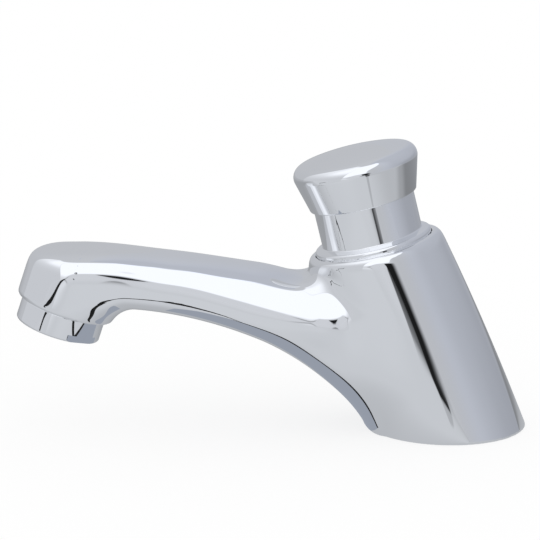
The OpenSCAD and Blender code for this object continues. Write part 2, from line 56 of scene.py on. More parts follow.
TILT = math.radians(18)
NOSE_R = 16.0
NOSE_TOP = 59.0
NOSE_UNDER = 39.8
NOSE_BLEND = 8.0
SPOUT_W = 29.4
WAIST = 30.0
ROOT_X = 62.8
ROOT_TOP = 53.5
ROOT_UNDER = 29.9
ROOT_W = 32.0
ROOT_BLEND = 18.0
BELLY = 26.9
FOOT_FRONT = 26.2
CAP_R = 20.5
CAP_SKIRT_R = 17.7
CAP_BOTTOM = 14.5
CAP_EDGE = 29.0
CAP_DOME = 2.6
SHANK_R = 10.48

PUSH_AXIS = Matrix.Translation((-RIM_FORWARD, 0, RIM_HEIGHT)) @ Matrix.Rotation(-LEAN, 4, "Y")
OUTLET_AXIS = Matrix.Translation((-REACH, 0, LIP_HEIGHT)) @ Matrix.Rotation(math.pi + TILT, 4, "Y")


# Node trees
class Wire:
    """A socket in a node tree. Arithmetic on it adds Math nodes."""

    def __init__(self, nodes, socket):
        self.nodes = nodes
        self.socket = socket

    def port(self, name):
        """Another output of the same node."""
        return Wire(self.nodes, self.socket.node.outputs[name])

    def __add__(self, other):
        return self.nodes.math("ADD", self, other)

    def __radd__(self, other):
        return self.nodes.math("ADD", other, self)

    def __sub__(self, other):
        return self.nodes.math("SUBTRACT", self, other)

    def __rsub__(self, other):
        return self.nodes.math("SUBTRACT", other, self)

    def __mul__(self, other):
        return self.nodes.math("MULTIPLY", self, other)

    def __rmul__(self, other):
        return self.nodes.math("MULTIPLY", other, self)

    def __truediv__(self, other):
        return self.nodes.math("DIVIDE", self, other)

    def __rtruediv__(self, other):
        return self.nodes.math("DIVIDE", other, self)

    def __neg__(self):
        return self.nodes.math("MULTIPLY", self, -1.0)

    def step(self, low, high):
        """0 below low, 1 above high and a soft step between them."""
        settings = {"interpolation_type": "SMOOTHSTEP", "clamp": True}
        sockets = {"Value": self, "From Min": low, "From Max": high, "To Min": 0.0, "To Max": 1.0}
        return self.nodes.add("ShaderNodeMapRange", settings, sockets)

    def window(self, low, high, soft):
        """1 between low and high, 0 outside them and soft at both ends."""
        return self.step(low - soft, low + soft) * (1 - self.step(high - soft, high + soft))

    def toward(self, other, mask):
        """Goes from this value to the other as mask goes from 0 to 1."""
        return self + (other - self) * mask


class Nodes:
    """A node tree that is being built."""

    def __init__(self, tree):
        self.tree = tree

    def feed(self, socket, value):
        if isinstance(value, Wire):
            self.tree.links.new(value.socket, socket)
        else:
            socket.default_value = value

    def add(self, kind, settings=None, sockets=None, out=0):
        node = self.tree.nodes.new(kind)
        for name, value in (settings or {}).items():
            setattr(node, name, value)
        for name, value in (sockets or {}).items():
            self.feed(node.inputs[name], value)
        return Wire(self, node.outputs[out])

    def math(self, operation, *values):
        return self.add("ShaderNodeMath", {"operation": operation}, dict(enumerate(values)))

    def split(self, vector):
        """X, Y and Z of a vector."""
        parts = self.add("ShaderNodeSeparateXYZ", None, {"Vector": vector})
        return [parts.port(name) for name in "XYZ"]

    def join(self, x, y, z):
        return self.add("ShaderNodeCombineXYZ", None, {"X": x, "Y": y, "Z": z})

    def colour(self, red, green, blue):
        return self.add("ShaderNodeCombineColor", None, {0: red, 1: green, 2: blue})

    def blend(self, mask, first, second):
        """Colour that goes from first to second as mask goes from 0 to 1."""
        return self.add("ShaderNodeMix", {"data_type": "RGBA"}, {0: mask, 6: first, 7: second}, 2)

    def object_place(self, scale=(1.0, 1.0, 1.0), turn=(0.0, 0.0, 0.0)):
        place = self.add("ShaderNodeTexCoord", out="Object")
        sockets = {"Vector": place, "Rotation": turn, "Scale": scale}
        return self.add("ShaderNodeMapping", {"vector_type": "POINT"}, sockets)

    def noise(self, place, scale, detail=3.0, rough=0.5):
        sockets = {"Vector": place, "Scale": scale, "Detail": detail, "Roughness": rough}
        return self.add("ShaderNodeTexNoise", {"noise_dimensions": "3D"}, sockets)

    def bump(self, height, strength, distance):
        sockets = {"Strength": strength, "Distance": distance, "Height": height}
        return self.add("ShaderNodeBump", None, sockets)


def grey(level):
    return (level, level, level, 1.0)


def start_finish(name):
    """A new material with its nodes and its surface shader."""
    material = bpy.data.materials.new(name)
    material.use_nodes = True
    surface = material.node_tree.nodes["Principled BSDF"]
    return material, Nodes(material.node_tree), surface


def dress(nodes, surface, **sockets):
    """Feeds the surface's sockets, named with underscores for spaces."""
    for name, value in sockets.items():
        nodes.feed(surface.inputs[name.replace("_", " ")], value)


# Finishes, with lengths in metres
def chrome_plate(name, waviness):
    """Polished chrome over cast or turned brass, with faint polishing waves and wipe marks."""
    material, nodes, surface = start_finish(name)
    place = nodes.object_place()
    wiped = nodes.object_place(scale=(1.0, 2.2, 3.1), turn=(0.3, 0.5, 0.2))
    wipes = nodes.noise(wiped, 240.0, 4.0, 0.6)
    specks = nodes.noise(place, 5200.0, 1.0)
    waves = nodes.noise(place, 52.0, 1.0, 0.4)
    tint = nodes.noise(place, 30.0, 2.0)
    colour = nodes.blend(tint, (0.885, 0.895, 0.91, 1.0), (0.915, 0.92, 0.93, 1.0))
    rough = 0.008 + wipes * 0.03 + specks.step(0.66, 0.80) * 0.02
    relief = nodes.bump(waves, 0.5, waviness)
    dress(nodes, surface, Base_Color=colour, Metallic=1.0, Roughness=rough, Normal=relief)
    return material


def turned_brass(name):
    """Machined brass with tool rings round an upright axis and brown tarnish."""
    material, nodes, surface = start_finish(name)
    place = nodes.object_place()
    _, _, height = nodes.split(place)
    phase = height * 14000.0 + nodes.noise(place, 300.0) * 3.0
    rings = nodes.math("SINE", phase) * 0.5 + 0.5
    tarnish = nodes.noise(place, 130.0, 5.0, 0.62).step(0.42, 0.72)
    colour = nodes.blend(tarnish, (0.78, 0.57, 0.27, 1.0), (0.55, 0.36, 0.15, 1.0))
    rough = 0.24 + tarnish * 0.18 + rings * 0.05
    relief = nodes.bump(rings, 0.25, 0.00002)
    dress(nodes, surface, Base_Color=colour, Metallic=1.0, Roughness=rough, Normal=relief)
    return material


def bright_steel(name):
    """Stainless steel with fine drawn lines."""
    material, nodes, surface = start_finish(name)
    lines = nodes.noise(nodes.object_place(scale=(1.0, 1.0, 14.0)), 900.0, 3.0, 0.6)
    cloud = nodes.noise(nodes.object_place(), 160.0, 3.0)
    colour = nodes.blend(cloud, (0.56, 0.57, 0.59, 1.0), (0.68, 0.68, 0.69, 1.0))
    rough = 0.2 + lines * 0.16
    relief = nodes.bump(lines, 0.3, 0.00001)
    dress(nodes, surface, Base_Color=colour, Metallic=1.0, Roughness=rough, Normal=relief)
    return material


def seal_rubber(name):
    """Black moulded rubber with a dusty grain."""
    material, nodes, surface = start_finish(name)
    grain = nodes.noise(nodes.object_place(), 3000.0, 3.0, 0.6)
    dust = nodes.noise(nodes.object_place(), 220.0, 4.0, 0.6).step(0.45, 0.8)
    colour = nodes.blend(dust, (0.018, 0.018, 0.02, 1.0), (0.05, 0.05, 0.052, 1.0))
    rough = 0.62 + grain * 0.22
    dress(nodes, surface, Base_Color=colour, Roughness=rough, Normal=nodes.bump(grain, 0.4, 0.00003))
    return material


def moulded_plastic(name, light, dark, gloss):
    """Moulded plastic with a soft sheen and faint flow marks."""
    material, nodes, surface = start_finish(name)
    flow = nodes.noise(nodes.object_place(scale=(1.0, 1.0, 2.5)), 120.0, 3.0)
    grain = nodes.noise(nodes.object_place(), 2400.0, 2.0)
    colour = nodes.blend(flow, light, dark)
    rough = gloss + flow * 0.1 + grain * 0.06
    dress(nodes, surface, Base_Color=colour, Roughness=rough, Normal=nodes.bump(grain, 0.2, 0.00002))
    return material


body_chrome = chrome_plate("cast_body_chrome", 0.00002)
turned_chrome = chrome_plate("turned_chrome", 0.000004)
brass = turned_brass("turned_brass")
steel = bright_steel("bright_steel")
rubber = seal_rubber("seal_rubber")
white_plastic = moulded_plastic("white_acetal", (0.82, 0.82, 0.79, 1.0), (0.74, 0.74, 0.71, 1.0), 0.34)
grey_plastic = moulded_plastic("grey_insert", (0.30, 0.32, 0.35, 1.0), (0.24, 0.26, 0.29, 1.0), 0.38)


# Meshes
def linked(name, points, faces, material):
    """A mesh object in the scene, from points in metres."""
    mesh = bpy.data.meshes.new(name)
    mesh.from_pydata(points, [], faces)
    mesh.materials.append(material)
    piece = bpy.data.objects.new(name, mesh)
    bpy.context.scene.collection.objects.link(piece)
    return piece


def new_piece(name, points, faces, material):
    """A piece of the tap, from points in millimetres."""
    return linked(name, (np.asarray(points) * MM).tolist(), faces, material)


def claim(piece, body, slot, *nodes):
    """Makes a finished piece ride on a body and stand for the named solids."""
    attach(piece, body)
    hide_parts(*nodes)


def bake(piece):
    """Turns a piece with modifiers into a plain mesh."""
    graph = bpy.context.evaluated_depsgraph_get()
    mesh = bpy.data.meshes.new_from_object(piece.evaluated_get(graph))
    piece.modifiers.clear()
    piece.data = mesh


def even_shading(piece, angle):
    """Smooth shading that keeps edges sharper than angle and leaves flats flat."""
    piece.data.shade_smooth()
    piece.data.set_sharp_from_angle(angle=math.radians(angle))
    weights = piece.modifiers.new("even_shading", "WEIGHTED_NORMAL")
    weights.keep_sharp = True
    weights.weight = 100
    bake(piece)


def mix(a, b, t):
    return a + (b - a) * t


def arc(centre_r, centre_h, radius, start, end, steps):
    """Points of an arc in a profile of (radius, height), with its angles in degrees."""
    angles = [math.radians(mix(start, end, i / steps)) for i in range(steps + 1)]
    return [(centre_r + radius * math.cos(a), centre_h + radius * math.sin(a)) for a in angles]


def place_round(radius, height, k, sides):
    angle = 2 * math.pi * k / sides
    return (radius * math.cos(angle), radius * math.sin(angle), height)


def turn_rings(profile, sides):
    """Points of a profile of (radius, height) turned about the upright axis, and their numbers in rings."""
    points = []
    rings = []
    for radius, height in profile:
        if radius < 1e-6:
            rings.append([len(points)] * sides)
            points.append((0.0, 0.0, height))
            continue
        rings.append(list(range(len(points), len(points) + sides)))
        points += [place_round(radius, height, k, sides) for k in range(sides)]
    return points, rings


def ring_faces(rings):
    """Faces between neighbouring rings, as triangles where a ring is a point on the axis."""
    faces = []
    for low, high in zip(rings, rings[1:]):
        for k in range(len(low)):
            after = (k + 1) % len(low)
            corners = [low[k], low[after], high[after], high[k]]
            face = [c for i, c in enumerate(corners) if c != corners[i - 1]]
            if len(set(face)) > 2:
                faces.append(face)
    return faces


def turn_closed(profile, sides):
    """Points and faces of a closed profile turned about the upright axis."""
    points, rings = turn_rings(profile, sides)
    return np.array(points), ring_faces(rings + rings[:1])


def move_onto(axis, points):
    turn = np.array(axis)
    return points @ turn[:3, :3].T + turn[:3, 3]


# Shape of the cast body: the solid's skin with a fuller belly and root fillet, and rounded rim, lip and foot
HINGE_X = -RIM_FORWARD - RIM_HEIGHT / math.tan(LEAN)
UNDER_SLOPE = 0.4
UNDER_PEAK = 2 * (NOSE_UNDER - ROOT_UNDER) / UNDER_SLOPE
SPOUT_L = REACH - ROOT_X
TOP_SETBACK = 7
TOP_PEAK = SPOUT_L - TOP_SETBACK
TOP_FALL = 0.0022
ROOT_DIP = 12.9
ROOT_CLIMB = 17.2
FOOT_SPREAD = 5.45
FOOT_RISE = 40
FOOT_PINCH = 4.5
WIDEST = 0.34
LOW_BLEND = 0.75
FLANK_BLEND = 14.0
RIM_ROUND = 4.6
LIP_ROUND = 2.1
FOOT_ROUND = 0.75
BORE_ROUND = 0.45
NET_STEP = 0.66
# Radius, low end and high end of each bore, along the push axis and along the outlet's axis
PUSH_BORES = ((19.35, -1.5, 30), (17.45, -10.5, 30), (15.5, -34.0, 30), (10.4, -49.05, 0))
OUTLET_BORES = ((12.05, -8.0, 20), (9.0, -12.5, 0))


def ease(t):
    """Goes from 0 to 1 with level ends, as t does."""
    c = np.clip(t, 0.0, 1.0)
    return c * c * c * (10 - 15 * c + 6 * c * c)


def smooth_min(a, b, k):
    """The lesser of two fields, with a fillet about as wide as k where they meet."""
    h = np.maximum(k - np.abs(a - b), 0) / k
    return np.minimum(a, b) - h * h * h * k / 6


def smooth_max(a, b, k):
    return -smooth_min(-a, -b, k)


def edge_from_hinge(foot_x, rim_side, psi):
    """Distance of the housing's straight edge from the line where its foot's and rim's planes meet."""
    run = -RIM_FORWARD + rim_side * math.cos(LEAN) - foot_x
    rise = RIM_HEIGHT + rim_side * math.sin(LEAN)
    return (foot_x - HINGE_X) * rise / (np.cos(psi) * rise - np.sin(psi) * run)


def housing(x, y, z):
    """Slanted housing that turns from the round foot to the round tilted rim, with a swollen back."""
    psi = np.arctan2(z, x - HINGE_X)
    t = psi / LEAN
    front = edge_from_hinge(-BASE_R, -RIM_R, psi)
    back = edge_from_hinge(BASE_R, RIM_R, psi) + 4 * BACK_SWELL * t * (1 - t)
    return np.hypot(np.hypot(x - HINGE_X, z) - (front + back) / 2, y) - (back - front) / 2


def underside(ahead, turn):
    foot = ROOT_X - FOOT_FRONT
    sag = 2 * (foot + ROOT_UNDER - 2 * BELLY)
    climb = 1 - np.maximum(1 - ahead / UNDER_PEAK, 0) ** 2
    fore = ROOT_UNDER + (NOSE_UNDER - ROOT_UNDER) * climb
    return np.where(ahead >= 0, fore, foot + (ROOT_UNDER - foot - sag) * turn + sag * turn * turn)


def topside(ahead, turn):
    tip = NOSE_TOP - TOP_FALL * (ahead - TOP_PEAK) ** 2
    rise = ROOT_TOP + (NOSE_TOP - ROOT_TOP) * (1 - np.maximum(1 - ahead / TOP_PEAK, 0) ** 1.5)
    bend = ROOT_TOP - ROOT_DIP * (1 - turn) + ROOT_CLIMB * (1 - turn) ** 2
    return np.where(ahead >= TOP_PEAK, tip, np.where(ahead >= 0, rise, bend))


def half_width(ahead, turn, up):
    fore = SPOUT_W / 2 + (ROOT_W - SPOUT_W) / 2 * (1 - ahead / WAIST) ** 2
    tip = mix(SPOUT_W / 2, NOSE_R, ease((ahead - WAIST) / 32))
    foot = ROOT_W / 2 + FOOT_SPREAD * up / FOOT_RISE * (1 - turn) - FOOT_PINCH * (1 - turn) ** 2
    return np.where(ahead >= WAIST, tip, np.where(ahead >= 0, fore, foot))


def nose_drop(away):
    """How far the underside drops into the nose, by the distance from the nose's round wall."""
    near = np.clip(NOSE_BLEND - away, 0, NOSE_BLEND)
    curve = NOSE_BLEND - np.sqrt(np.maximum(NOSE_BLEND ** 2 - near ** 2, 0))
    return curve + 3 * np.maximum(-away, 0)


def outlet_place(x, y, z):
    """How far behind the outlet's axis, how far from that axis and how far out of the lip."""
    dx = x + REACH
    dz = z - LIP_HEIGHT
    along = math.cos(TILT) * dx - math.sin(TILT) * dz
    return along, np.hypot(along, y), -math.sin(TILT) * dx - math.cos(TILT) * dz


def push_place(x, y, z):
    """Distance from the push axis and height over the rim."""
    dx = x + RIM_FORWARD
    dz = z - RIM_HEIGHT
    across = math.cos(LEAN) * dx + math.sin(LEAN) * dz
    return np.hypot(across, y), math.cos(LEAN) * dz - math.sin(LEAN) * dx


def tube(x, y, z):
    """Spout and nose, boxier towards the nose, where the plan ends in a half circle round the outlet."""
    ahead = -ROOT_X - x
    turn = np.where(ahead >= 0, 1.0, np.arctan2(z, -ahead) / (math.pi / 2))
    up = np.where(ahead >= 0, z, np.hypot(ahead, z))
    along, far, _ = outlet_place(x, y, z)
    at_nose = ease((ahead - WAIST) / 20)
    low = underside(np.minimum(ahead, SPOUT_L), turn)
    high = topside(np.minimum(ahead, SPOUT_L + NOSE_R), turn)
    middle = mix(low, high, WIDEST)
    low = low - at_nose * nose_drop(far - NOSE_R)
    side = np.where(along < 0, far, np.abs(y))
    wide = np.where(along < 0, NOSE_R, np.maximum(half_width(ahead, turn, up), 0.5))
    above = up > middle
    half_h = np.maximum(np.where(above, high - middle, middle - low), 0.5)
    # rounder or boxier section: 2 is an ellipse, and more is nearer a box
    top_power = mix(mix(2.5, 3.0, ease(ahead / WAIST)), 4.2, ease((ahead - 26) / 28))
    top_power = top_power + 5.0 * ease(-along / NOSE_R)
    low_power = 2.4 + 1.6 * at_nose * ease(1 - (far - NOSE_R) / NOSE_BLEND)
    power = np.where(above, top_power, low_power)
    reach = (side / wide) ** power + (np.abs(up - middle) / half_h) ** power
    share = np.maximum(reach, 1e-9) ** (1 / power)
    away = np.hypot(side, up - middle)
    return np.where(share > 0.001, away - away / np.maximum(share, 0.001), -half_h)


def outer_skin(x, y, z):
    """Spout and housing in one, with a fillet that is fuller on the flanks of the spout's root."""
    aside = ease((np.abs(y) - 3) / 11)
    risen = ease((z - 25) / 13)
    topped = ease((z - 46) / 12)
    behind = ease((x + 46) / 18)
    flank = aside * risen * (1 - topped) * (1 - behind)
    blend = mix(LOW_BLEND, ROOT_BLEND, ease(z / 24)) * mix(1.0, 0.62, ease((z - 38) / 12))
    return smooth_min(tube(x, y, z), housing(x, y, z), blend + FLANK_BLEND * flank)


def drill(side, along, radius, low, high):
    return np.maximum(side - radius, np.maximum(low - along, along - high))


def bores(x, y, z):
    """Seats and bores inside the body, open where they meet the outside."""
    axis = np.hypot(x, y)
    shank_socket = drill(axis, z, SHANK_R + 0.05, -5, 8.5)
    gasket_groove = np.maximum(drill(axis, z, 21.55, -5, 2.0), 14.5 - axis)
    holes = np.minimum(shank_socket, gasket_groove)
    side, up = push_place(x, y, z)
    for bore in PUSH_BORES:
        holes = np.minimum(holes, drill(side, up, *bore))
    _, around, out = outlet_place(x, y, z)
    for bore in OUTLET_BORES:
        holes = np.minimum(holes, drill(around, out, *bore))
    return holes


def cast_body(x, y, z):
    """Negative inside the casting and positive outside it."""
    skin = outer_skin(x, y, z)
    side, up = push_place(x, y, z)
    skin = np.where(side < RIM_R + 4, smooth_max(skin, up, RIM_ROUND), skin)
    _, _, out = outlet_place(x, y, z)
    skin = np.where(x < -95, smooth_max(skin, out, LIP_ROUND), skin)
    skin = smooth_max(skin, -z, FOOT_ROUND)
    return smooth_max(skin, -bores(x, y, z), BORE_ROUND)


def slope(field, points, reach):
    parts = []
    for axis in np.eye(3) * reach:
        parts.append(field(*(points + axis).T) - field(*(points - axis).T))
    return np.stack(parts, axis=1) / (2 * reach)


def surface_net(field, low, high, step):
    """Quads over the surface where field is zero, with one point in each grid cell that it crosses."""
    axes = [np.arange(a, b + step, step) for a, b in zip(low, high)]
    across, upward = np.meshgrid(axes[1], axes[2], indexing="ij")
    values = np.stack([field(np.full_like(across, x), across, upward) for x in axes[0]])
    cells = [n - 1 for n in values.shape]
    total = np.zeros(cells + [3], np.float32)
    count = np.zeros(cells, np.float32)
    crossings = []
    for axis in range(3):
        first = values[tuple(slice(0, -1) if a == axis else slice(None) for a in range(3))]
        second = values[tuple(slice(1, None) if a == axis else slice(None) for a in range(3))]
        crossed = (first < 0) != (second < 0)
        share = np.where(crossed, first / np.where(crossed, first - second, 1), 0)
        crossings.append((crossed, first < 0))
        others = [a for a in range(3) if a != axis]
        for i in (0, 1):
            for j in (0, 1):
                cut = [slice(None)] * 3
                cut[others[0]] = slice(i, cells[others[0]] + i)
                cut[others[1]] = slice(j, cells[others[1]] + j)
                hit = crossed[tuple(cut)]
                count += hit
                total[..., axis] += share[tuple(cut)]
                total[..., others[0]] += hit * i
                total[..., others[1]] += hit * j
    used = count > 0
    number = np.full(cells, -1)
    number[used] = np.arange(used.sum())
    corner = np.argwhere(used)
    points = np.array(low) + step * (corner + total[used] / count[used][:, None])
    faces = []
    for axis, (crossed, inward) in enumerate(crossings):
        others = [(axis + 1) % 3, (axis + 2) % 3]
        place = np.argwhere(crossed)
        for side in others:
            place = place[(place[:, side] > 0) & (place[:, side] < values.shape[side] - 1)]
        ring = []
        for i, j in ((1, 1), (0, 1), (0, 0), (1, 0)):
            cell = place.copy()
            cell[:, others[0]] -= i
            cell[:, others[1]] -= j
            ring.append(number[tuple(cell.T)])
        quads = np.stack(ring, axis=1)
        flip = ~inward[tuple(place.T)]
        quads[flip] = quads[flip][:, ::-1]
        faces.append(quads)
    return points, np.concatenate(faces)


# Pieces of the tap
def make_body():
    """The chromed casting, drawn onto its exact skin and shaded by that skin's own slope."""
    points, faces = surface_net(cast_body, (-145.2, -28.05, -1.3), (28.5, 28.05, 68.0), NET_STEP)
    longest = 0.4 * NET_STEP
    for _ in range(4):
        lean = slope(cast_body, points, 0.01)
        size = np.maximum((lean * lean).sum(1), 0.05)
        move = lean * (cast_body(*points.T) / size)[:, None]
        points -= np.clip(move, -longest, longest)
    piece = new_piece("cast_body", points, faces.tolist(), body_chrome)
    normals = slope(cast_body, points, 0.05)
    normals /= np.linalg.norm(normals, axis=1, keepdims=True)
    piece.data.shade_smooth()
    piece.data.normals_split_custom_set_from_vertices(normals.tolist())
    claim(piece, "tap", "chrome", "tap_body")


def make_push_cap():
    """Flared button with a shallow dome, hollow over the neck, and a boss for the rod."""
    edge_r = 3.8
    dome_r = (CAP_R ** 2 + CAP_DOME ** 2) / (2 * CAP_DOME)
    dome_centre = CAP_EDGE + CAP_DOME - dome_r
    flare = math.degrees(math.atan2(CAP_R - CAP_SKIRT_R, CAP_EDGE - CAP_BOTTOM))
    edge_x = CAP_R - edge_r
    edge_h = dome_centre + math.sqrt((dome_r - edge_r) ** 2 - edge_x ** 2)
    dome_end = math.degrees(math.atan2(edge_h - dome_centre, edge_x))
    profile = [(16.8, 14.75), (16.95, 14.55), (17.05, CAP_BOTTOM)]
    profile += arc(17.1, 15.1, 0.6, -90, -flare, 8)
    profile += arc(edge_x, edge_h, edge_r, -flare, dome_end, 16)
    profile += arc(0, dome_centre, dome_r, dome_end, 90, 24)[1:-1]
    profile += [(0, dome_centre + dome_r), (0, 27.5), (3.05, 27.5), (3.05, 22.0), (6.0, 22.0), (6.2, 22.2)]
    profile += [(6.2, 28.3), (6.4, 28.5), (14.8, 28.5), (16.8, 26.5)]
    points, faces = turn_closed(profile, 192)
    piece = new_piece("push_button", move_onto(PUSH_AXIS, points), faces, turned_chrome)
    even_shading(piece, 40)
    claim(piece, "plunger", "chrome", "push_cap")


def make_bonnet():
    """Neck with a rounded collar, which screws into the housing, and the spring's floor inside it."""
    profile = [(12.2, -10.5), (17.1, -10.5), (17.4, -10.2), (17.4, -2.2), (16.9, -2.0)]
    profile += [(16.9, -1.5), (19.0, -1.5)]
    profile += arc(19.05, -1.35, 0.15, -90, 0, 4)
    profile += arc(18.1, 0.4, 1.1, 0, 72, 12)
    profile += arc(16.95, 2.4, 0.45, -108, -180, 6)
    profile += arc(15.9, 18.4, 0.6, 0, 90, 8)
    profile += [(13.7, 19.0), (13.5, 18.8), (13.5, 3.0), (6.2, 3.0)]
    profile += [(6.2, -3.6), (4.3, -3.6), (4.3, -4.5), (12.2, -4.5)]
    points, faces = turn_closed(profile, 192)
    piece = new_piece("neck_bonnet", move_onto(PUSH_AXIS, points), faces, turned_chrome)
    even_shading(piece, 40)
    claim(piece, "tap", "chrome", "bonnet")


def make_aerator_ring():
    """Turned ring with two spanner flats milled into its lower edge."""
    flat_top = 5.38
    half_flats = 12.8
    profile = [(10.35, -6.5), (11.7, -6.5), (12.0, -6.2), (12.0, 0.35), (12.3, 0.05), (13.5, 0.05)]
    profile += arc(13.55, 0.5, 0.45, -90, 0, 6)
    profile += [(14.0, 5.3), (14.0, 5.36), (14.0, 5.4), (14.0, 5.46)]
    profile += arc(13.2, 7.0, 0.8, 0, 90, 8)
    profile += [(9.9, 7.8), (9.5, 7.5), (9.5, 6.6), (10.35, 6.6)]
    points, faces = turn_closed(profile, 240)
    for angle in (50, 230):
        way = np.array([math.cos(math.radians(angle)), math.sin(math.radians(angle))])
        milled = (points[:, 2] > flat_top) & (np.hypot(points[:, 0], points[:, 1]) > 12.5)
        over = np.where(milled, points[:, :2] @ way - half_flats, 0)
        points[:, :2] -= np.maximum(over, 0)[:, None] * way
    piece = new_piece("aerator_ring", move_onto(OUTLET_AXIS, points), faces, turned_chrome)
    even_shading(piece, 30)
    claim(piece, "tap", "chrome", "aerator_housing")


def shape_with_nodes(piece, name, inputs, build, material):
    """Shapes a piece with a Geometry Nodes group that has named inputs, and bakes it to a plain mesh."""
    tree = bpy.data.node_groups.new(name, "GeometryNodeTree")
    interface = tree.interface
    interface.new_socket("Geometry", in_out="INPUT", socket_type="NodeSocketGeometry")
    keys = {}
    for label in inputs:
        socket = interface.new_socket(label, in_out="INPUT", socket_type="NodeSocketFloat")
        keys[label] = socket.identifier
    interface.new_socket("Geometry", in_out="OUTPUT", socket_type="NodeSocketGeometry")
    nodes = Nodes(tree)
    given = nodes.add("NodeGroupInput")
    shape = build(nodes, given.port("Geometry"), *[given.port(label) for label in inputs])
    shape = nodes.add("GeometryNodeRealizeInstances", None, {"Geometry": shape})
    shape = nodes.add("GeometryNodeSetMaterial", None, {"Geometry": shape, "Material": material})
    end = tree.nodes.new("NodeGroupOutput")
    nodes.feed(end.inputs["Geometry"], shape)
    modifier = piece.modifiers.new(name, "NODES")
    modifier.node_group = tree
    for label, value in inputs.items():
        modifier[keys[label]] = value
    bake(piece)


def wind_coil(nodes, _, turns, radius, height, wire):
    """Coil whose end curls lie close together."""
    sockets = {"Resolution": 40, "Rotations": turns, "Height": height}
    sockets.update({"Start Radius": radius, "End Radius": radius})
    line = nodes.add("GeometryNodeCurveSpiral", None, sockets)
    x, y, _ = nodes.split(nodes.add("GeometryNodeInputPosition"))
    share = nodes.add("GeometryNodeSplineParameter", out="Factor")
    rise = height * (share * 0.4 + share.step(0, 1) * 0.6)
    place = nodes.join(x, y, rise)
    line = nodes.add("GeometryNodeSetPosition", None, {"Geometry": line, "Position": place})
    ring = nodes.add("GeometryNodeCurvePrimitiveCircle", None, {"Resolution": 16, "Radius": wire / 2})
    sockets = {"Curve": line, "Profile Curve": ring, "Fill Caps": True}
    coil = nodes.add("GeometryNodeCurveToMesh", None, sockets)
    return nodes.add("GeometryNodeSetShadeSmooth", None, {"Geometry": coil, "Shade Smooth": True})


def cut_thread(nodes, blank, pitch, depth, outer, low, high):
    """Rounded screw thread cut into the outside of a turned blank, running out at both ends."""
    x, y, z = nodes.split(nodes.add("GeometryNodeInputPosition"))
    radius = nodes.math("SQRT", x * x + y * y)
    phase = z / pitch - nodes.math("ARCTAN2", y, x) / (2 * math.pi)
    flank = nodes.math("FRACT", phase) - 0.5
    groove = 1 - nodes.math("ABSOLUTE", flank).step(0.02, 0.46)
    inside = z.step(low, low + pitch) * (1 - z.step(high - pitch, high))
    scale = 1 - depth * groove * inside / radius
    place = nodes.join(x * scale, y * scale, z)
    outside = nodes.math("GREATER_THAN", radius, outer - 0.00005)
    sockets = {"Geometry": blank, "Selection": outside, "Position": place}
    return nodes.add("GeometryNodeSetPosition", None, sockets)


def make_spring():
    """Return spring between the bonnet's floor and the cap."""
    coil_foot = 3.9
    piece = new_piece("push_spring", np.zeros((0, 3)), [], steel)
    inputs = {"Turns": 6.0, "Radius": 0.0105, "Height": 0.0237, "Wire": 0.0016}
    shape_with_nodes(piece, "spring_coil", inputs, wind_coil, steel)
    axis = Matrix.Rotation(-LEAN, 4, "Y")
    foot = PUSH_AXIS @ Vector((0, 0, coil_foot)) * MM
    piece.data.transform(Matrix.Translation(foot) @ axis)
    claim(piece, "tap", "steel", "return_spring")
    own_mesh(piece)


def make_shank():
    """Inlet shank with a half-inch pipe thread over its length and a plain relief groove."""
    row = 0.15
    profile = [(7.2, -52.0), (9.4, -52.0)]
    profile += [(SHANK_R, -51.2 + row * i) for i in range(101)]
    profile += [(9.28, -36.0), (9.28, -34.0)]
    profile += [(SHANK_R, -34.0 + row * i) for i in range(274)]
    profile += [(10.0, 7.0), (7.2, 7.0), (7.0, 6.8), (7.0, -49.5)]
    profile += [(7.9, -49.5), (7.9, -50.5), (7.0, -50.5), (7.0, -51.8)]
    points, faces = turn_closed(profile, 120)
    piece = new_piece("threaded_shank", points, faces, brass)
    inputs = {"Pitch": 0.001814, "Depth": 0.00116, "Outer": 0.01048, "Low": -0.0515, "High": -0.0015}
    shape_with_nodes(piece, "pipe_thread", inputs, cut_thread, brass)
    piece.data.shade_smooth()
    piece.data.set_sharp_from_angle(angle=math.radians(50))
    claim(piece, "tap", "brass", "inlet_shank")


def make_back_nut():
    """Hexagon nut with chamfered corners and a countersunk bore."""
    sides = 180
    bore = 10.53
    sink = 0.9
    flat = 15.0
    bevel = 0.4
    corner = flat / math.cos(math.radians(30)) - 0.05
    rows = []
    for edge, inward in ((-32.5, 1), (-23.5, -1)):
        hexagon = []
        for k in range(sides):
            turn = (360 * k / sides) % 60 - 30
            reach = min(flat / math.cos(math.radians(turn)), corner)
            fall = (reach - flat + bevel) * math.tan(math.radians(30))
            hexagon.append((reach, edge + inward * fall))
        half = [[(bore, edge + sink * inward)] * sides, [(bore + sink, edge)] * sides]
        half += [[(flat - bevel, edge)] * sides, hexagon]
        rows += half if inward > 0 else half[::-1]
    points = []
    rings = []
    for row in rows:
        rings.append(list(range(len(points), len(points) + sides)))
        points += [place_round(radius, height, k, sides) for k, (radius, height) in enumerate(row)]
    piece = new_piece("deck_nut", points, ring_faces(rings + rings[:1]), brass)
    even_shading(piece, 25)
    claim(piece, "tap", "brass", "back_nut")


make_body()
make_push_cap()
make_bonnet()
make_aerator_ring()
make_spring()
make_shank()
make_back_nut()

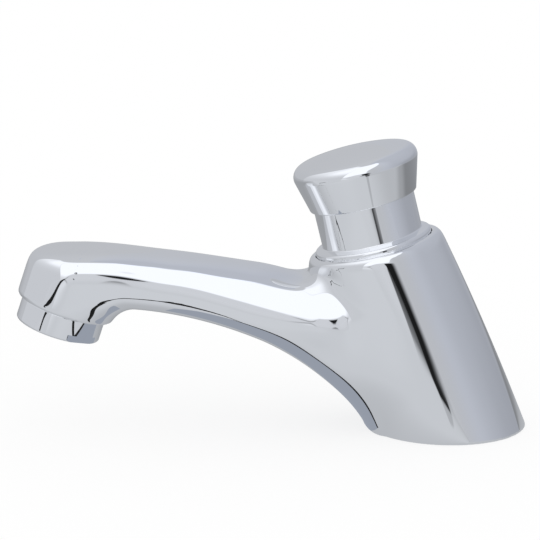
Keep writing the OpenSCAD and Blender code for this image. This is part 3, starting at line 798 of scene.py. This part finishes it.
# Finishes of the solids that stay
FINISHES = (
    (brass, ("stem_bush", "timing_piston")),
    (steel, ("lock_nut", "push_rod", "piston_clip", "valve_seat", "valve_washer", "valve_nut")),
    (steel, ("aerator_screen", "inlet_strainer", "clamp_washer")),
    (rubber, ("stem_o_ring", "bonnet_seal", "barrel_o_ring", "barrel_gasket", "piston_seal", "valve_disc")),
    (rubber, ("aerator_washer", "shank_seal", "regulator_ring", "base_gasket", "clamp_gasket")),
    (white_plastic, ("cartridge_barrel", "aerator_core")),
    (grey_plastic, ("flow_regulator",)),
)
for finish, node_names in FINISHES:
    for node_name in node_names:
        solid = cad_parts[node_name]
        solid.data.materials.clear()
        solid.data.materials.append(finish)


# Studio, in metres, where a level of 1 is white
DEGREES = 180 / math.pi
PER_METRE = 1000
WORKTOP_Z = -0.00005
TABLE_Z = -0.00003
SHADE_Z = -0.00002
TENT_R = 12.0


def stage_piece(name, points, faces, material):
    """A piece of the studio, from points in metres."""
    piece = linked(name, points, faces, material)
    return piece


def reflected_piece(name, points, faces, material):
    """A panel or card of the studio that shows only in the metal."""
    piece = stage_piece(name, points, faces, material)
    piece.visible_camera = False
    piece.visible_diffuse = False
    piece.visible_shadow = False


def glow(name, colour=None):
    """A material that gives off light of its own and reflects none."""
    material, nodes, surface = start_finish(name)
    dress(nodes, surface, Base_Color=grey(0.0), Roughness=1.0, Specular_IOR_Level=0.0)
    dress(nodes, surface, Emission_Strength=1.0)
    if colour:
        dress(nodes, surface, Emission_Color=colour)
    return material, nodes, surface


def turn_open(profile):
    """Points and faces of an open profile turned about the upright axis."""
    points, rings = turn_rings(profile, 96)
    return points, ring_faces(rings)


def make_floor():
    """White worktop with the deck hole that the shank goes through."""
    material, nodes, surface = start_finish("white_worktop")
    path = nodes.add("ShaderNodeLightPath")
    camera, glossy, clear = (path.port("Is %s Ray" % name) for name in ("Camera", "Glossy", "Transmission"))
    seen = (camera + glossy + clear).step(0.0, 1.0)
    dress(nodes, surface, Roughness=0.9, Specular_IOR_Level=0.0, Emission_Strength=1.0)
    dress(nodes, surface, Base_Color=nodes.blend(seen, grey(0.96), grey(0.22)))
    dress(nodes, surface, Emission_Color=nodes.blend(seen, grey(0.0), grey(0.78)))
    profile = [(radius, WORKTOP_Z) for radius in (8.0, 0.3, 0.03, 0.0115)]
    stage_piece("worktop", *turn_open(profile), material)


def make_world():
    world = bpy.data.worlds.new("white_surround")
    bpy.context.scene.world = world
    world.use_nodes = True
    backdrop = world.node_tree.nodes["Background"]
    backdrop.inputs["Color"].default_value = grey(1.0)
    backdrop.inputs["Strength"].default_value = 1.0


def make_tent():
    """Tent round the tap: light box in front and overhead, pale left wall, grey right and back walls.

    Its azimuth is in degrees from the front, with the right side positive.
    """
    material, nodes, surface = glow("tent_panels")
    place = nodes.add("ShaderNodeTexCoord", out="Object")
    x, y, z = nodes.split(nodes.add("ShaderNodeVectorMath", {"operation": "NORMALIZE"}, {0: place}))
    azimuth = nodes.math("ARCTAN2", x, -y) * DEGREES
    elevation = nodes.math("ARCSINE", z) * DEGREES
    # back and right walls, darker low on the right
    low_right = azimuth.window(85, 150, 18) * (1 - elevation.step(-2, 20))
    right = azimuth.window(62, 165, 15)
    level = 0.55 + elevation.step(0, 70) * 0.05 - right * 0.06 - low_right * 0.1
    # left wall, paler higher up
    left = azimuth.window(-116, -30, 2.5) * (1 - elevation.step(76, 81))
    left_level = 0.64 + elevation.step(5, 35) * 0.14 + elevation.step(25, 55) * 0.16
    left_level = left_level + azimuth.step(-95, -60) * elevation.step(22, 45) * 0.16
    level = level.toward(left_level, left)
    # plain front wall under the light box
    front = azimuth.window(-30, 26, 2)
    plain = 0.69 - azimuth.step(0, 24) * 0.13
    level = level.toward(plain, front * (1 - elevation.step(20, 30)))
    # light box with a slanting lower left corner and a right edge that opens overhead
    over = elevation - 0.5 - azimuth.step(-22.5, -8) * 10
    box = azimuth.step(-31, -29) * (1 - (azimuth - elevation.step(25, 85) * 45).step(11, 14))
    box = box * over.step(-0.7, 0.7) * (1 - elevation.step(77, 81))
    soft = 3 + (1 - azimuth.step(-28, -6)) * 8
    level = level.toward(0.74 + (over / soft).step(0, 1) * 0.36, box)
    # dim gap along the box's slanting corner and dark opening to the right of the camera
    gap = azimuth.window(-23, -14.5, 2) * over.window(-1.5, 0.9, 0.4)
    across = azimuth + elevation * 0.5
    opening = across.step(7.8, 9) * (1 - across.step(18, 27)) * elevation.window(-16, 9, 1)
    level = level * (1 - gap * 0.4) * (1 - opening * 0.98)
    # a cooler tint on the right
    cool = azimuth.window(40, 175, 15)
    tint = nodes.colour(level * (0.96 - cool * 0.02), level * 0.985, level * (1.04 + cool * 0.06))
    dress(nodes, surface, Emission_Color=tint)
    rings = 48
    tilts = [math.pi * (i / rings - 0.5) * 0.998 for i in range(rings + 1)]
    profile = [(TENT_R * math.cos(tilt), TENT_R * math.sin(tilt)) for tilt in tilts]
    reflected_piece("tent", *turn_open(profile), material)


def smooth_path(corners, steps):
    """Points of a smooth curve through the corners."""
    ends = [2 * corners[0] - corners[1], *corners, 2 * corners[-1] - corners[-2]]
    path = []
    for a, b, c, d in zip(ends, ends[1:], ends[2:], ends[3:]):
        for i in range(steps):
            t = i / steps
            cubic = 2 * a - 5 * b + 4 * c - d + t * (3 * (b - c) + d - a)
            path.append(b + 0.5 * t * (c - a + t * cubic))
    return np.array(path + [corners[-1]])


def make_ribbon(name, corners, widths, facing, material):
    """A thin strip along a curve, with its width and the way it faces at each corner, in millimetres."""
    path = smooth_path(np.column_stack([corners, widths, facing]).astype(float), 8)
    middle = path[:, :3]
    side = np.cross(np.gradient(middle, axis=0), path[:, 4:])
    side *= path[:, 3:4] / 2 / np.linalg.norm(side, axis=1, keepdims=True)
    points = (np.concatenate([middle - side, middle + side]) * MM).tolist()
    n = len(path)
    faces = [(i, i + 1, n + i + 1, n + i) for i in range(n - 1)]
    reflected_piece(name, points, faces, material)


def make_table():
    """Glossy table under the tap as the metal sees it: a glowing card with painted light and the tap's
    painted shade, and a dark wedge in front of the opening.
    """
    material, nodes, surface = glow("table_painted_light_and_shade")
    x, y, _ = nodes.split(nodes.add("ShaderNodeTexCoord", out="Object"))
    x = x * PER_METRE
    near = y * -PER_METRE
    azimuth = nodes.math("ARCTAN2", x, near) * DEGREES
    far = nodes.math("SQRT", x * x + near * near)
    # painted shade of the tap: darker behind and beside the tap and to its right, paler towards the camera
    # and plain far out
    right = x.step(0, 160) * 0.12 * (1 - far.step(300, 900))
    level = 0.37 + near.step(-90, 0) * 0.13 + near.step(0, 60) * 0.14 - right
    level = level.toward(0.67 - azimuth.step(0, 24) * 0.11, far.step(300, 700) * near.step(0, 100))
    # a little painted light on the table left of the tap and in front of it
    level = level + x.window(-150, -40, 30) * near.window(90, 300, 40) * 0.03
    # wedge that widens away from the tap
    depth = near - 80
    off = (x - 15 - depth * 0.29) / (0.5 + depth * 0.085)
    wedge = off.window(-0.9, 1.4, 0.25) * depth.step(0, 40)
    level = level * (1 - wedge * (0.25 + near.step(200, 260) * 0.72))
    tint = nodes.colour(level * 0.96, level * 0.99, level * 1.04)
    dress(nodes, surface, Emission_Color=tint)
    dress(nodes, surface, Coat_Weight=far.step(250, 600), Coat_Roughness=0.02, Coat_IOR=1.5)
    profile = [(radius, TABLE_Z) for radius in (9.0, 1.0, 0.3, 0.1, 0.03, 0.001)]
    reflected_piece("table", *turn_open(profile), material)


def make_spout_shade():
    """Shade on the table under the spout, outlined in millimetres, with a dark edge towards the camera."""
    edge_height = -0.01
    front = [(-26, -17), (-36, -21), (-49, -30), (-62, -38), (-75, -49), (-83, -57)]
    rest = [(-91, -50), (-96, -28), (-98, 10), (-20, 30)]
    outline = smooth_path(np.array(front, float), 8).tolist() + rest
    corners = [(x * MM, y * MM, SHADE_Z) for x, y in outline]
    shade, _, _ = glow("spout_shade", (0.33, 0.36, 0.42, 1.0))
    reflected_piece("spout_shade", corners, [tuple(range(len(corners)))], shade)
    edge = [(x, y, edge_height) for x, y in front]
    widths = [1, 2, 3.2, 4.4, 5, 4]
    upward = [(0, 0, 1)] * len(edge)
    dark, _, _ = glow("dark_edge", grey(0.02))
    make_ribbon("shade_edge", edge, widths, upward, dark)


def make_dark_strips():
    """Narrow dark strips that hang in front of the spout and to the left of its nose."""
    dark, _, _ = glow("dark_strip", grey(0.015))
    arch = [
        (-108.3, -16.5, 16.9), (-111.6, -30.3, 28.5), (-110, -32.4, 35), (-107, -34.4, 36.4),
        (-99.6, -34.4, 36.4), (-94.3, -34.4, 36.2), (-88.9, -34.3, 35.3), (-83.3, -33.7, 32.5),
        (-77.5, -32.8, 29), (-72.5, -31, 24),
    ]
    widths = [0.8, 2.4, 3.8, 6, 7, 7, 5.4, 4.4, 3, 1]
    # edge-on to the root of the spout, so that only the spout's own side shows it
    facing = [(-0.31, 0.65, 0.69)] * 3 + [(0, 0.66, -0.75)] * 3 + [(-0.3, 0.95, -0.07)] * 4
    make_ribbon("spout_strip", arch, widths, facing, dark)
    hook = [
        (-147, -81.5, 53), (-156.7, -78, 48.3), (-162, -75, 44.2), (-167, -71.5, 41),
        (-172, -68, 39.7), (-178, -63, 38.6), (-181, -60, 35), (-181.5, -59, 25),
    ]
    widths = [1.5, 4.5, 5, 5, 5, 5, 5, 4]
    nose = (-128, -13, 43)
    make_ribbon("nose_strip", hook, widths, np.subtract(nose, hook), dark)


def make_camera():
    """Camera of the photograph's view: nearly side on, a little above, with a long lens."""
    azimuth = math.radians(-0.88)
    elevation = math.radians(12.91)
    distance = 0.795
    target = Vector((-0.05809, 0.00142, 0.05112))
    back = Vector((
        math.sin(azimuth) * math.cos(elevation),
        -math.cos(azimuth) * math.cos(elevation),
        math.sin(elevation),
    ))
    lens = bpy.data.cameras.new("camera")
    lens.sensor_width = 36.0
    lens.lens = 162.2
    camera = bpy.data.objects.new("camera", lens)
    roll = Matrix.Rotation(math.radians(0.43), 4, "Z")
    turn = back.to_track_quat("Z", "Y").to_matrix().to_4x4()
    camera.matrix_world = Matrix.Translation(target + back * distance) @ turn @ roll
    bpy.context.scene.collection.objects.link(camera)
    bpy.context.scene.camera = camera


make_floor()
make_world()
make_tent()
make_table()
make_spout_shade()
make_dark_strips()
make_camera()
bpy.context.scene.view_settings.view_transform = "Standard"
